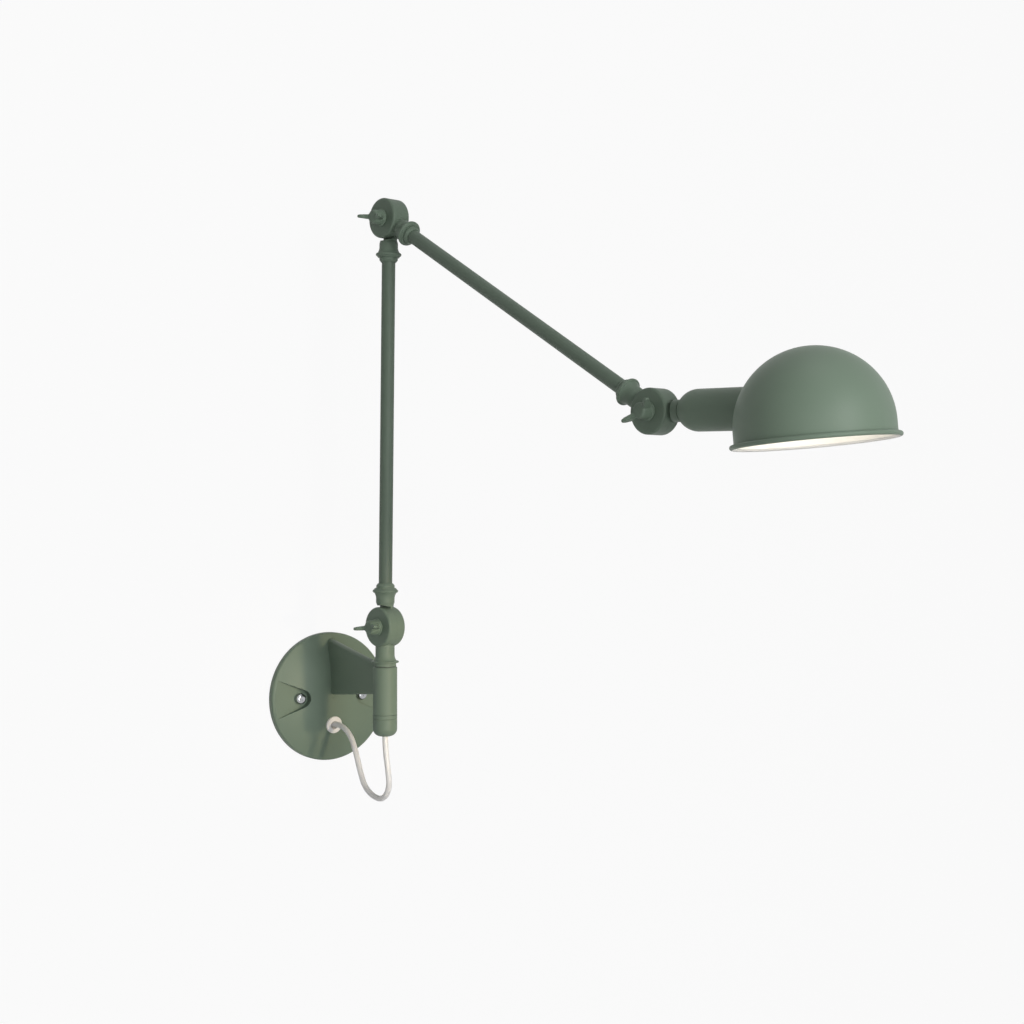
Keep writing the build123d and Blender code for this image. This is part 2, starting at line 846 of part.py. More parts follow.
# Swivel neck on the wing screw's side of the lower knuckle
neck_casting = knuckle_half(
    lower_centre,
    -up,
    1,
    swivel_neck_outline,
    swivel_face,
    neck_rim_clearance,
    cord_inset + spindle_end_wall,
    spindle_radius,
)
groove_half = stop_pin_radius + stop_groove_gap
groove_start = 90 - (swing_limit - swing_turn)
groove_plane = Plane(origin=lower_centre - up * swivel_face, x_dir=(1, 0, 0), z_dir=up)

with BuildPart() as swivel_neck:
    add(neck_casting.part)
    with BuildSketch(groove_plane):
        with BuildLine(mode=Mode.PRIVATE) as groove_line:
            CenterArc((0, 0), stop_pin_circle, groove_start, 2 * swing_limit)
        SlotArc(groove_line.edges()[0], 2 * groove_half)
    extrude(amount=stop_pin_stand + stop_groove_gap, mode=Mode.SUBTRACT)
save(swivel_neck, "swivel_neck")

# Spindle, washer and nut that hold the neck down in the barrel
washer_top = partition_bottom - face_gap
nut_top = washer_top - swivel_washer_thickness
spindle_bottom = nut_top - swivel_nut_height - spindle_tail
spindle_top = lower_knuckle_height - cord_inset - spindle_end_wall

with BuildPart() as swivel_spindle:
    with BuildSketch(Plane.XY.offset(spindle_bottom)):
        with Locations((0, -barrel_reach)):
            Circle(spindle_radius)
            Circle(spindle_bore_radius, mode=Mode.SUBTRACT)
    extrude(amount=spindle_top - spindle_bottom)
save(swivel_spindle, "swivel_spindle")

with BuildPart() as swivel_washer:
    with BuildSketch(Plane.XY.offset(nut_top)):
        with Locations((0, -barrel_reach)):
            Circle(swivel_washer_radius)
            Circle(spindle_radius + push_fit, mode=Mode.SUBTRACT)
    extrude(amount=swivel_washer_thickness)
save(swivel_washer, "swivel_washer")

with BuildPart() as swivel_nut:
    with BuildSketch(Plane.XY.offset(nut_top)):
        with Locations((0, -barrel_reach)):
            RegularPolygon(swivel_nut_flat / 2, 6, major_radius=False)
            Circle(spindle_radius + push_fit, mode=Mode.SUBTRACT)
    extrude(amount=-swivel_nut_height)
save(swivel_nut, "swivel_nut")

neck_cord_start = Vector(0, -barrel_reach, spindle_bottom + face_gap)
neck_cord_length = lower_knuckle_height - cord_inset - neck_cord_start.Z
neck_cord = straight_cord(neck_cord_start, up, neck_cord_length)
save(neck_cord, "neck_cord")


# Arms: a knuckle casting at each end of a drawn tube
def arm_tube(centre, run):
    """Drawn tube of one arm, seated in the castings at both ends."""
    with BuildPart() as tube:
        with BuildSketch(across(centre, run, tube_start)):
            Circle(tube_radius)
            Circle(tube_radius - tube_wall, mode=Mode.SUBTRACT)
        extrude(amount=arm_length - 2 * tube_start)
    return tube


def arm_cord(centre, run):
    """Cord inside one arm, carried by the bores of the castings."""
    return straight_cord(centre + run * cord_inset, run, arm_length - 2 * cord_inset)


save(tube_casting(lower_centre, lower_run, -1), "lower_arm_foot")
save(arm_tube(lower_centre, lower_run), "lower_arm_tube")
save(tube_casting(elbow_centre, -lower_run, -1), "lower_arm_top")
save(arm_cord(lower_centre, lower_run), "lower_arm_cord")

save(tube_casting(elbow_centre, upper_run, 1), "upper_arm_root")
save(arm_tube(elbow_centre, upper_run), "upper_arm_tube")
save(tube_casting(head_centre, -upper_run, 1), "upper_arm_tip")
save(arm_cord(elbow_centre, upper_run), "upper_arm_cord")


# Friction washers between the bosses of each knuckle
def friction_washer(centre):
    """Fibre washer round the wing screw, seated in the threaded half."""
    with BuildPart() as washer:
        seat = half_gap + boss_recess
        with BuildSketch(Plane(origin=centre - wing_side * seat, z_dir=wing_side)):
            Circle(boss_radius)
            Circle(screw_radius + screw_gap, mode=Mode.SUBTRACT)
        extrude(amount=washer_thickness)
    return washer


save(friction_washer(lower_centre), "lower_knuckle_washer")
save(friction_washer(elbow_centre), "elbow_washer")
save(friction_washer(head_centre), "head_knuckle_washer")


# Wing screws: a shank, a round hub on a collar and two ears
def wing_screw(centre, turn):
    """Wing screw of one knuckle, its ears turned from the horizontal."""
    head_base = half_thickness + face_gap
    ear_out = in_arm_plane(turn)
    with BuildPart() as screw:
        with BuildSketch(Plane(origin=centre, x_dir=ear_out, z_dir=wing_side)):
            Circle(screw_radius)
        extrude(amount=head_base)
        with BuildSketch(Plane(origin=centre, x_dir=ear_out, z_dir=wing_side)):
            Circle(screw_radius)
        extrude(amount=-(half_thickness - knuckle_skin - thread_end_gap))
        ear_plane = Plane(
            origin=centre + wing_side * head_base,
            x_dir=ear_out,
            z_dir=ear_out.cross(wing_side),
        )
        with BuildSketch(ear_plane):
            with BuildLine():
                Polyline(
                    (0, 0),
                    (collar_radius, 0),
                    (collar_radius, collar_height),
                    (hub_root_radius, collar_height),
                    (hub_tip_radius, hub_height - collar_height / 2),
                    (hub_tip_radius - collar_height, hub_height),
                    (0, hub_height),
                    close=True,
                )
            make_face()
        revolve(axis=Axis(centre, wing_side))
        with BuildSketch(ear_plane):
            with BuildLine():
                ear_foot = (hub_root_radius + hub_tip_radius) / 2
                Polyline(
                    (0, wing_root_height),
                    (ear_foot + wing_root_height, wing_root_height),
                    (wing_reach, wing_height - 2 * wing_root_height),
                    (wing_reach - wing_tip_round / 2, wing_height),
                    (wing_reach - 2 * wing_tip_round, wing_height),
                    (ear_foot, hub_height - collar_height),
                    (0, hub_height - collar_height),
                    close=True,
                )
            ear = make_face()
            fillet(ear.vertices().group_by(Axis.Y)[-1], radius=wing_tip_round / 2)
            mirror(about=Plane.YZ)
        extrude(amount=wing_thickness / 2, both=True)
    return screw


save(wing_screw(lower_centre, lower_wing_turn), "lower_wing_screw")
save(wing_screw(elbow_centre, elbow_wing_turn), "elbow_wing_screw")
save(wing_screw(head_centre, head_wing_turn), "head_wing_screw")

# Head neck on the threaded side of the head knuckle, with the nipple that holds the cup
head_neck = knuckle_half(
    head_centre,
    cup_run,
    -1,
    head_neck_outline,
    head_neck_end,
    head_rim_clearance,
    nipple_start - push_fit,
    spindle_radius,
)
save(head_neck, "head_neck")

with BuildPart() as head_nipple:
    with BuildSketch(across(head_centre, cup_run, nipple_start)):
        Circle(spindle_radius)
        Circle(spindle_bore_radius, mode=Mode.SUBTRACT)
    extrude(amount=nipple_end - nipple_start)
save(head_nipple, "head_nipple")

with BuildPart() as head_swivel_washer:
    with BuildSketch(across(head_centre, cup_run, cup_floor + face_gap)):
        Circle(head_washer_radius)
        Circle(spindle_radius + push_fit, mode=Mode.SUBTRACT)
    extrude(amount=head_washer_thickness)
save(head_swivel_washer, "head_swivel_washer")

head_nut_start = cup_floor + face_gap + head_washer_thickness
with BuildPart() as head_swivel_nut:
    with BuildSketch(across(head_centre, cup_run, head_nut_start)):
        RegularPolygon(head_nut_flat / 2, 6, major_radius=False)
        Circle(spindle_radius + push_fit, mode=Mode.SUBTRACT)
    extrude(amount=head_nut_height)
save(head_swivel_nut, "head_swivel_nut")

head_cord_length = holder_start - face_gap - cord_inset
head_cord = straight_cord(head_centre + cup_run * cord_inset, cup_run, head_cord_length)
save(head_cord, "head_cord")

# Lampholder cup: a turned cup with a round back, trimmed to the inside of the shade
cup_inner_radius = cup_radius - cup_wall
back_width = cup_radius - cup_seat_radius
back_depth = cup_shoulder - cup_seat
back_curve = (back_width**2 + back_depth**2) / (2 * back_width)
floor_span = sqrt((back_curve - cup_wall) ** 2 - (cup_shoulder - cup_floor) ** 2)
floor_radius = cup_radius - back_curve + floor_span

with BuildPart() as socket_cup:
    with BuildSketch(outline_plane(head_centre, cup_run)):
        with BuildLine():
            Polyline(
                (0, cup_seat),
                (0, cup_floor),
                (floor_radius, cup_floor),
            )
            TangentArc(
                (cup_inner_radius, cup_shoulder),
                (floor_radius, cup_floor),
                tangent=(0, -1),
            )
            Polyline(
                (cup_inner_radius, cup_shoulder),
                (cup_inner_radius, shade_reach),
                (cup_radius, shade_reach),
                (cup_radius, cup_shoulder),
            )
            TangentArc((cup_radius, cup_shoulder), (cup_seat_radius, cup_seat), tangent=(0, -1))
            Line((cup_seat_radius, cup_seat), (0, cup_seat))
        make_face()
    revolve(axis=cup_axis)
    with BuildSketch(across(head_centre, cup_run, cup_seat)):
        Circle(spindle_radius + running_fit)
    extrude(amount=cup_floor - cup_seat, mode=Mode.SUBTRACT)
    with Locations(Plane(shade_centre)):
        Sphere(cup_trim_radius, mode=Mode.SUBTRACT)
save(socket_cup, "socket_cup")

# Lampholder: a moulded body with a brass screw shell, a centre contact and a retaining ring
with BuildPart() as lampholder_body:
    with BuildSketch(across(head_centre, cup_run, holder_start)):
        Circle(cup_inner_radius - push_fit)
    extrude(amount=holder_end - holder_start)
    with BuildSketch(across(head_centre, cup_run, holder_floor)):
        Circle(holder_bore_radius)
    extrude(amount=holder_end - holder_floor, mode=Mode.SUBTRACT)
    with BuildSketch(across(head_centre, cup_run, holder_start)):
        Circle(holder_wire_radius)
    extrude(amount=(holder_floor - holder_start) / 2, mode=Mode.SUBTRACT)
save(lampholder_body, "lampholder_body")

with BuildPart() as lampholder_ring:
    with BuildSketch(across(head_centre, cup_run, holder_end)):
        Circle(cup_inner_radius - push_fit)
        Circle(retainer_bore_radius, mode=Mode.SUBTRACT)
    extrude(amount=retainer_thickness)
save(lampholder_ring, "lampholder_ring")

with BuildPart() as lampholder_shell:
    with BuildSketch(across(head_centre, cup_run, holder_floor)):
        Circle(holder_bore_radius - push_fit)
        Circle(holder_bore_radius - push_fit - shell_wall, mode=Mode.SUBTRACT)
    extrude(amount=holder_end - shell_recess - holder_floor)
save(lampholder_shell, "lampholder_shell")

with BuildPart() as centre_contact:
    with BuildSketch(across(head_centre, cup_run, holder_floor)):
        Circle(contact_radius)
    extrude(amount=contact_thickness)
save(centre_contact, "centre_contact")

# Shade: a spun dome with a short skirt and a rolled rim, holed at the side for the cup
shade_inner = shade_radius - shade_wall

with BuildPart() as shade:
    with BuildSketch(Plane(origin=shade_centre, x_dir=shade_plane.x_dir, z_dir=-shade_plane.y_dir)):
        with BuildLine():
            Line((shade_radius, -rim_drop), (shade_radius, 0))
            ThreePointArc(
                (shade_radius, 0),
                (shade_radius * cos(radians(45)), shade_radius * sin(radians(45))),
                (0, shade_radius),
            )
            Line((0, shade_radius), (0, shade_inner))
            ThreePointArc(
                (0, shade_inner),
                (shade_inner * cos(radians(45)), shade_inner * sin(radians(45))),
                (shade_inner, 0),
            )
            Polyline((shade_inner, 0), (shade_inner, -rim_drop), (shade_radius, -rim_drop))
        make_face()
        with Locations((shade_radius + rim_bead_offset, -rim_drop)):
            Circle(rim_bead_radius)
    revolve(axis=Axis(shade_centre, shade_up))
    with BuildSketch(across(head_centre, cup_run, holder_start)):
        Circle(cup_radius + push_fit)
    extrude(amount=shade_reach - holder_start, mode=Mode.SUBTRACT)
save(shade, "shade")

# Bulb: a screw base and a glass envelope with a straight neck, a taper and a round end
taper = radians(bulb_taper)
bulb_base_end = holder_end + bulb_base_stand
bulb_base_start = bulb_base_end - bulb_base_length
bulb_centre = bulb_base_end + bulb_reach
bulb_neck_start = bulb_base_end - bulb_neck_bite
thread_corner = bulb_base_radius - contact_radius

with BuildPart() as bulb_base:
    with BuildSketch(outline_plane(head_centre, cup_run)):
        with BuildLine():
            Polyline(
                (0, bulb_base_start - bulb_button_length),
                (bulb_button_radius, bulb_base_start - bulb_button_length),
                (bulb_button_radius, bulb_base_start),
                (thread_corner, bulb_base_start),
                (bulb_base_radius, bulb_base_start + contact_radius),
                (bulb_base_radius, bulb_base_end),
                (bulb_neck_radius + push_fit, bulb_base_end),
                (bulb_neck_radius + push_fit, bulb_neck_start),
                (0, bulb_neck_start),
                close=True,
            )
        make_face()
    revolve(axis=cup_axis)
save(bulb_base, "bulb_base")


def bulb_outline(inset):
    """Half outline of the envelope, or of the space inside it."""
    ball = bulb_radius - inset
    neck = bulb_neck_radius - inset
    touch = (ball * cos(taper), bulb_centre - ball * sin(taper))
    start = touch[1] - (touch[0] - neck) / tan(taper)
    tip = bulb_centre + ball
    Polyline(touch, (neck, start), (neck, bulb_neck_start + inset), (0, bulb_neck_start + inset))
    Line((0, bulb_neck_start + inset), (0, tip))
    ThreePointArc((0, tip), (ball, bulb_centre), touch)


with BuildPart() as bulb_glass:
    with BuildSketch(outline_plane(head_centre, cup_run)):
        with BuildLine():
            bulb_outline(0)
        make_face()
        with BuildLine():
            bulb_outline(bulb_wall)
        make_face(mode=Mode.SUBTRACT)
    revolve(axis=cup_axis)
save(bulb_glass, "bulb_glass")
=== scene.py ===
import math

import bpy
from mathutils import Matrix, Vector


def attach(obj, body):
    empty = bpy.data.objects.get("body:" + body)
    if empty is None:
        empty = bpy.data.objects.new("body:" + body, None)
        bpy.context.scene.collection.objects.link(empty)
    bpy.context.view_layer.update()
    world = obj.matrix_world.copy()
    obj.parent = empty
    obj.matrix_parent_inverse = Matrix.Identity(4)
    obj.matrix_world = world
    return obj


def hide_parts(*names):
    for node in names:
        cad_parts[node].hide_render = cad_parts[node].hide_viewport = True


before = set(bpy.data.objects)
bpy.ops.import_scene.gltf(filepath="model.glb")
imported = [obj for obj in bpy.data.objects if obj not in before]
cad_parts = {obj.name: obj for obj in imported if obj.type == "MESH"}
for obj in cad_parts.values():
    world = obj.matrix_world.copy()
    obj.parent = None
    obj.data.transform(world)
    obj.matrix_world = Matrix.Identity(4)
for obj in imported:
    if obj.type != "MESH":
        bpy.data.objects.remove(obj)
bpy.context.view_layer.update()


# The view of the photograph. A level camera stands in front of the lamp, to its left,
# and looks a third of the way round towards the wall.
bpy.ops.object.camera_add(
    location=(-0.8202, -1.5429, 0.1957),
    rotation=(math.radians(90), 0, math.radians(-34.482)),
)
view_camera = bpy.context.object
view_camera.data.lens = 57.26
view_camera.data.sensor_width = 36
view_camera.data.clip_end = 20
bpy.context.scene.camera = view_camera
bpy.context.scene.view_settings.view_transform = "Standard"


# The wall is a plain pale sheet that the lamp is screwed to, and the floor lies well below
# it. Both look white to the camera, still catch the lamp's soft shadow, and are clear from
# behind, so that the back of the lamp can be seen through them.
def white_to_rays(tree):
    """Gives 1 for the rays that show the backdrop, straight, in gloss and through glass."""
    path = tree.nodes.new("ShaderNodeLightPath")
    shown = path.outputs["Is Camera Ray"]
    for ray in ("Is Glossy Ray", "Is Transmission Ray"):
        either = tree.nodes.new("ShaderNodeMath")
        either.operation = "MAXIMUM"
        tree.links.new(shown, either.inputs[0])
        tree.links.new(path.outputs[ray], either.inputs[1])
        shown = either.outputs[0]
    return shown


def backdrop_sheet(name, shadow_share):
    """Makes a sheet that is white but for a share of the light and shadow that fall on it."""
    material = bpy.data.materials.new(name)
    material.use_nodes = True
    tree = material.node_tree
    tree.nodes.clear()
    new, link = tree.nodes.new, tree.links.new
    matt = new("ShaderNodeBsdfDiffuse")
    matt.inputs["Color"].default_value = (0.55, 0.55, 0.55, 1)
    white = new("ShaderNodeEmission")
    white.inputs["Color"].default_value = (1, 1, 1, 1)
    white_share = new("ShaderNodeMath")
    white_share.operation = "MULTIPLY"
    white_share.inputs[1].default_value = 1 - shadow_share
    front = new("ShaderNodeMixShader")
    clear = new("ShaderNodeBsdfTransparent")
    side = new("ShaderNodeNewGeometry")
    one_sided = new("ShaderNodeMixShader")
    out = new("ShaderNodeOutputMaterial")
    link(white_to_rays(tree), white_share.inputs[0])
    link(white_share.outputs[0], front.inputs[0])
    link(matt.outputs[0], front.inputs[1])
    link(white.outputs[0], front.inputs[2])
    link(side.outputs["Backfacing"], one_sided.inputs[0])
    link(front.outputs[0], one_sided.inputs[1])
    link(clear.outputs[0], one_sided.inputs[2])
    link(one_sided.outputs[0], out.inputs["Surface"])
    return material


sheet_size = 9
wall_gap = 0.0012
floor_height = -1.1
bpy.ops.mesh.primitive_plane_add(
    size=sheet_size, location=(0, wall_gap, 0.9), rotation=(math.radians(90), 0, 0)
)
wall = bpy.context.object
wall.name = "wall"
wall.data.materials.append(backdrop_sheet("pale_wall", shadow_share=0.07))

bpy.ops.mesh.primitive_plane_add(size=sheet_size, location=(0, -4.4, floor_height))
floor = bpy.context.object
floor.name = "floor"
floor.data.materials.append(backdrop_sheet("pale_floor", shadow_share=0.07))


# Studio light: a soft box in front and a little above, a broad panel overhead, a weak fill
# from the camera's side and another from low in front. The surround is white to look at and
# lights the lamp a little from all sides.
def soft_panel(name, place, aim, size, power):
    bpy.ops.object.light_add(type="AREA", location=place)
    panel = bpy.context.object
    panel.name = name
    panel.rotation_euler = (Vector(aim) - Vector(place)).to_track_quat("-Z", "Y").to_euler()
    panel.data.shape = "SQUARE"
    panel.data.size = size
    panel.data.energy = power


lamp_middle = (0, -0.3, 0.25)
soft_panel("key_box", (0.12, -2.4, 0.72), aim=lamp_middle, size=0.6, power=16.7)
soft_panel("top_panel", (0, -0.9, 2.2), aim=lamp_middle, size=1.0, power=4.8)
soft_panel("camera_fill", (-1.0, -2.1, 0), aim=lamp_middle, size=1.3, power=8.7)
soft_panel("low_fill", (-0.1, -2.4, -0.35), aim=(0, -0.1, 0), size=1.0, power=8.5)

surround_light = 0.1
surround = bpy.data.worlds.new("studio")
surround.use_nodes = True
sky = surround.node_tree
sky.nodes["Background"].inputs["Color"].default_value = (1, 1, 1, 1)
sky_strength = sky.nodes.new("ShaderNodeMath")
sky_strength.operation = "MULTIPLY_ADD"
sky_strength.inputs[1].default_value = 1 - surround_light
sky_strength.inputs[2].default_value = surround_light
sky.links.new(white_to_rays(sky), sky_strength.inputs[0])
sky.links.new(sky_strength.outputs[0], sky.nodes["Background"].inputs["Strength"])
bpy.context.scene.world = surround


# The bulb is lit in the photograph, and its warm light falls on the barrel and the
# backplate. A narrow warm spot gives that light from beyond the reach of the arms, so that
# it strikes no shade that is moved in front of it.
bpy.ops.object.light_add(type="SPOT", location=(0.29, -1.6, 0.07))
bulb_glow = bpy.context.object
bulb_glow.name = "bulb_glow"
to_barrel = Vector((0.02, -0.1, 0.03)) - bulb_glow.location
bulb_glow.rotation_euler = to_barrel.to_track_quat("-Z", "Y").to_euler()
bulb_glow.data.energy = 36
bulb_glow.data.color = (1, 0.79, 0.52)
bulb_glow.data.spot_size = math.radians(9.5)
bulb_glow.data.spot_blend = 0.6
bulb_glow.data.shadow_soft_size = 0.06


# The free lead is a round white cord. It leaves the foot of the barrel, hangs in a loop
# and goes back through the grommet in the backplate. The radius of each point is the cord's.
cord_radius = 0.0029
cord_route = [
    (0, -0.1237, -0.016),
    (0, -0.1237, -0.0401),
    (0.0005, -0.1292, -0.0636),
    (0.0009, -0.131, -0.0796),
    (0.0009, -0.1211, -0.0923),
    (0.0004, -0.1052, -0.0945),
    (-0.0004, -0.0842, -0.0873),
    (-0.0005, -0.0739, -0.0715),
    (0.0001, -0.0629, -0.0513),
    (0.0004, -0.0512, -0.0356),
    (0.0003, -0.0279, -0.0268),
    (0.0003, -0.0106, -0.0294),
]

cord_curve = bpy.data.curves.new("supply_lead", "CURVE")
cord_curve.dimensions = "3D"
cord_curve.bevel_depth = 1
cord_curve.bevel_resolution = 6
cord_curve.resolution_u = 16
cord_curve.use_fill_caps = True
cord_line = cord_curve.splines.new("NURBS")
cord_line.points.add(len(cord_route) - 1)
for point, place in zip(cord_line.points, cord_route):
    point.co = (*place, 1)
    point.radius = cord_radius
cord_line.order_u = 3
cord_line.use_endpoint_u = True
supply_lead = bpy.data.objects.new("supply_lead", cord_curve)
bpy.context.collection.objects.link(supply_lead)
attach(supply_lead, "wall_base")
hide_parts("supply_cord")


# The backplate is a steel pressing in matt sage green powder coat. The coat dries with a
# faint orange peel and a little unevenness, and all painted pieces of the lamp have it.
def finish_group(name, numbers):
    """Opens a finish: a colour and numbers go in, and colour, roughness and normal come out."""
    group = bpy.data.node_groups.new(name, "ShaderNodeTree")
    sockets = group.interface
    sockets.new_socket(name="Colour", in_out="INPUT", socket_type="NodeSocketColor")
    for label in numbers:
        sockets.new_socket(name=label, in_out="INPUT", socket_type="NodeSocketFloat")
    for label, kind in (("Colour", "Color"), ("Roughness", "Float"), ("Normal", "Vector")):
        sockets.new_socket(name=label, in_out="OUTPUT", socket_type="NodeSocket" + kind)
    given, made = group.nodes.new("NodeGroupInput"), group.nodes.new("NodeGroupOutput")
    return group, given.outputs, made.inputs


def object_noise(tree, scale, detail=2):
    """Adds a noise that is fixed to the piece."""
    place = tree.nodes.new("ShaderNodeTexCoord")
    noise = tree.nodes.new("ShaderNodeTexNoise")
    noise.inputs["Scale"].default_value = scale
    noise.inputs["Detail"].default_value = detail
    tree.links.new(place.outputs["Object"], noise.inputs["Vector"])
    return noise.outputs["Fac"]


def spread_over(tree, pattern, low, high):
    """Spreads a pattern of 0 to 1 between two values."""
    spread = tree.nodes.new("ShaderNodeMapRange")
    spread.inputs["To Min"].default_value = low
    spread.inputs["To Max"].default_value = high
    tree.links.new(pattern, spread.inputs["Value"])
    return spread.outputs["Result"]


def worked_out(tree, operation, first, second):
    """Joins two values by a sum or a product."""
    step = tree.nodes.new("ShaderNodeMath")
    step.operation = operation
    tree.links.new(first, step.inputs[0])
    tree.links.new(second, step.inputs[1])
    return step.outputs[0]


def tinted(tree, colour, strength):
    """Makes a colour lighter or darker by a pattern."""
    tint = tree.nodes.new("ShaderNodeVectorMath")
    tint.operation = "SCALE"
    tree.links.new(colour, tint.inputs[0])
    tree.links.new(strength, tint.inputs["Scale"])
    return tint.outputs[0]


def raised(tree, pattern, distance=0, strength=1, under=None):
    """Raises a pattern as a bump, on top of another one where there is one."""
    bump = tree.nodes.new("ShaderNodeBump")
    for label, value in (("Distance", distance), ("Strength", strength)):
        if isinstance(value, bpy.types.NodeSocket):
            tree.links.new(value, bump.inputs[label])
        else:
            bump.inputs[label].default_value = value
    tree.links.new(pattern, bump.inputs["Height"])
    if under is not None:
        tree.links.new(under, bump.inputs["Normal"])
    return bump.outputs[0]


def powder_coat_group():
    group, given, made = finish_group("powder_coat", ["Peel", "Roughness"])
    cloud = object_noise(group, 22, 5)
    grain = object_noise(group, 2600)
    peel = object_noise(group, 620, 1)
    uneven = spread_over(group, cloud, 0.97, 1.03)
    specks = spread_over(group, grain, 0.965, 1.035)
    shade = worked_out(group, "MULTIPLY", uneven, specks)
    group.links.new(tinted(group, given["Colour"], shade), made["Colour"])
    rubbed = spread_over(group, cloud, -0.11, 0.11)
    group.links.new(worked_out(group, "ADD", rubbed, given["Roughness"]), made["Roughness"])
    fine = raised(group, grain, 0.00002, given["Peel"])
    waves = raised(group, peel, 0.00006, given["Peel"], under=fine)
    group.links.new(waves, made["Normal"])
    return group


def finished(name, finish, colour, numbers):
    """Makes a material that wears a finish."""
    material = bpy.data.materials.new(name)
    material.use_nodes = True
    tree = material.node_tree
    coat = tree.nodes.new("ShaderNodeGroup")
    coat.name = "Finish"
    coat.node_tree = finish
    coat.inputs["Colour"].default_value = (*colour, 1)
    for label, value in numbers.items():
        coat.inputs[label].default_value = value
    skin = tree.nodes["Principled BSDF"]
    tree.links.new(coat.outputs["Colour"], skin.inputs["Base Color"])
    tree.links.new(coat.outputs["Roughness"], skin.inputs["Roughness"])
    tree.links.new(coat.outputs["Normal"], skin.inputs["Normal"])
    return material


def sage_paint(name, peel, roughness, tone=1.0):
    sage_green = [tone * share for share in (0.154, 0.210, 0.157)]
    paint = finished(name, powder_coat, sage_green, {"Peel": peel, "Roughness": roughness})
    paint.node_tree.nodes["Principled BSDF"].inputs["Specular IOR Level"].default_value = 0.3
    return paint


def dress(material, *names):
    """Gives CAD nodes a finish."""
    for name in names:
        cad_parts[name].material_slots[0].material = material


powder_coat = powder_coat_group()
smooth_paint = sage_paint("smooth_sage_paint", peel=0.5, roughness=0.5)
dress(smooth_paint, "backplate", "socket_cup")


# The mounting plate, nuts, washers and hidden screws are zinc plated steel. The plating
# has a fine brushed grain with cloudy patches. The nipples and nuts inside are the same.
def plating_group():
    group, given, made = finish_group("plating", ["Roughness", "Grain Scale", "Grain Depth"])
    new, link = group.nodes.new, group.links.new
    patches = object_noise(group, 90, 4)
    place = new("ShaderNodeTexCoord")
    stretched = new("ShaderNodeMapping")
    stretched.inputs["Scale"].default_value = (1, 1, 0.08)
    grain = new("ShaderNodeTexNoise")
    link(place.outputs["Object"], stretched.inputs["Vector"])
    link(stretched.outputs[0], grain.inputs["Vector"])
    link(given["Grain Scale"], grain.inputs["Scale"])
    link(tinted(group, given["Colour"], spread_over(group, patches, 0.82, 1)), made["Colour"])
    rub = spread_over(group, patches, 0.7, 1.3)
    link(worked_out(group, "MULTIPLY", rub, given["Roughness"]), made["Roughness"])
    link(raised(group, grain.outputs["Fac"], given["Grain Depth"], 0.5), made["Normal"])
    return group


def plated_metal(name, colour, roughness, grain_scale, grain_depth):
    numbers = {"Roughness": roughness, "Grain Scale": grain_scale, "Grain Depth": grain_depth}
    metal = finished(name, plating, colour, numbers)
    metal.node_tree.nodes["Principled BSDF"].inputs["Metallic"].default_value = 1
    return metal


plating = plating_group()
zinc = plated_metal("zinc_plate", (0.62, 0.63, 0.64), 0.32, 1800, 0.00003)
dress(
    zinc,
    "mounting_plate",
    "bracket_screws",
    "ground_screw",
    "terminal_screws",
    "stop_pin",
    "swivel_spindle",
    "swivel_washer",
    "swivel_nut",
    "head_nipple",
    "head_swivel_washer",
    "head_swivel_nut",
)

# The canopy screws are tall polished screws that hold the backplate to the mounting plate.
# They are chromed, so their grain hardly shows.
chrome = plated_metal("polished_chrome", (0.45, 0.46, 0.47), 0.08, 900, 0.000003)
dress(chrome, "canopy_screws")


# The wiring fittings are moulded plastic: a white terminal block and grommet, and dark
# washers that the knuckles rub on. The plastic has a fine spark-eroded skin, and light
# sinks a little way into the cord's white sheath.
def moulding_group():
    group, given, made = finish_group("moulding", ["Roughness", "Skin Depth"])
    mottle = object_noise(group, 60, 3)
    pits = object_noise(group, 3200)
    tone = spread_over(group, mottle, 0.93, 1)
    group.links.new(tinted(group, given["Colour"], tone), made["Colour"])
    rub = spread_over(group, mottle, -0.08, 0.08)
    group.links.new(worked_out(group, "ADD", rub, given["Roughness"]), made["Roughness"])
    group.links.new(raised(group, pits, given["Skin Depth"], 0.6), made["Normal"])
    return group


def moulded_plastic(name, colour, roughness, skin_depth, translucency=0):
    numbers = {"Roughness": roughness, "Skin Depth": skin_depth}
    plastic = finished(name, moulding, colour, numbers)
    skin = plastic.node_tree.nodes["Principled BSDF"]
    skin.inputs["Subsurface Weight"].default_value = translucency
    skin.inputs["Subsurface Radius"].default_value = (1, 1, 1)
    skin.inputs["Subsurface Scale"].default_value = 0.003
    return plastic


moulding = moulding_group()
white_plastic = moulded_plastic("white_moulding", (0.93, 0.92, 0.90), 0.42, 0.00002)
dark_plastic = moulded_plastic("dark_moulding", (0.035, 0.035, 0.036), 0.5, 0.00002)
sheath = moulded_plastic("white_sheath", (0.95, 0.94, 0.92), 0.38, 0.00001, translucency=0.7)
dress(white_plastic, "terminal_block", "cord_grommet")
dress(dark_plastic, "swivel_bush", "lower_knuckle_washer", "elbow_washer", "head_knuckle_washer")
dress(
    sheath,
    "inner_leads",
    "barrel_cord",
    "neck_cord",
    "lower_arm_cord",
    "upper_arm_cord",
    "head_cord",
)
cord_curve.materials.append(sheath)


# The bracket, cap, necks and knuckles are zinc castings under the same powder coat, a
# little coarser than on the pressed and drawn pieces. The knuckles of the elbow and the head
# wear a darker copy of the coat, painted shade for the dimmer light they get.
cast_paint = sage_paint("cast_sage_paint", peel=0.8, roughness=0.52)
# A tone of 0.86 darkens the same coat: painted shade on the upper knuckles and head wing.
shaded_knuckle_paint = sage_paint("shaded_knuckle_sage_paint", peel=0.8, roughness=0.52, tone=0.86)
dress(cast_paint, "arm_bracket", "barrel_cap", "swivel_neck", "lower_arm_foot")
dress(shaded_knuckle_paint, "lower_arm_top", "upper_arm_root", "upper_arm_tip", "head_neck")
